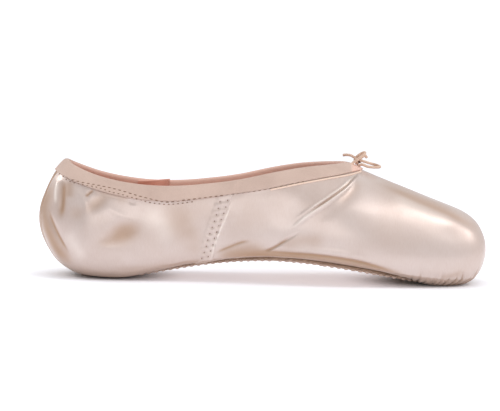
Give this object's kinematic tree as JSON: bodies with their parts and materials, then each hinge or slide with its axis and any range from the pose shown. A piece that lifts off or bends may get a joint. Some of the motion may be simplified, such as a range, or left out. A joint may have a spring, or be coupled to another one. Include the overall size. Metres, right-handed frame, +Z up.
{
  "type": "pointe shoe",
  "caption": "Peach-pink satin pointe shoe, empty and unbent, with a drawstring binding, a leather outsole and a flat platform.",
  "frame": {"origin": "on the floor, under the middle of the shoe's length and width", "axes": "+X from heel to toe, +Y across the shoe, +Z up"},
  "size_m": [0.2351, 0.077, 0.0687],
  "materials": {
    "satin": "satin",
    "binding_cloth": "matte",
    "sole_leather": "matte",
    "sock_lining": "matte",
    "tab_cloth": "matte",
    "drawstring": "matte"
  },
  "bodies": {
    "root": {"upper": "satin", "binding": "binding_cloth", "outsole": "sole_leather", "insole": "sock_lining", "inner_tab": "tab_cloth", "bow_knot": "drawstring", "bow_loop_forward": "drawstring", "bow_loop_up": "drawstring", "bow_end_back": "drawstring", "bow_end_front": "drawstring"}
  },
  "joints": []
}
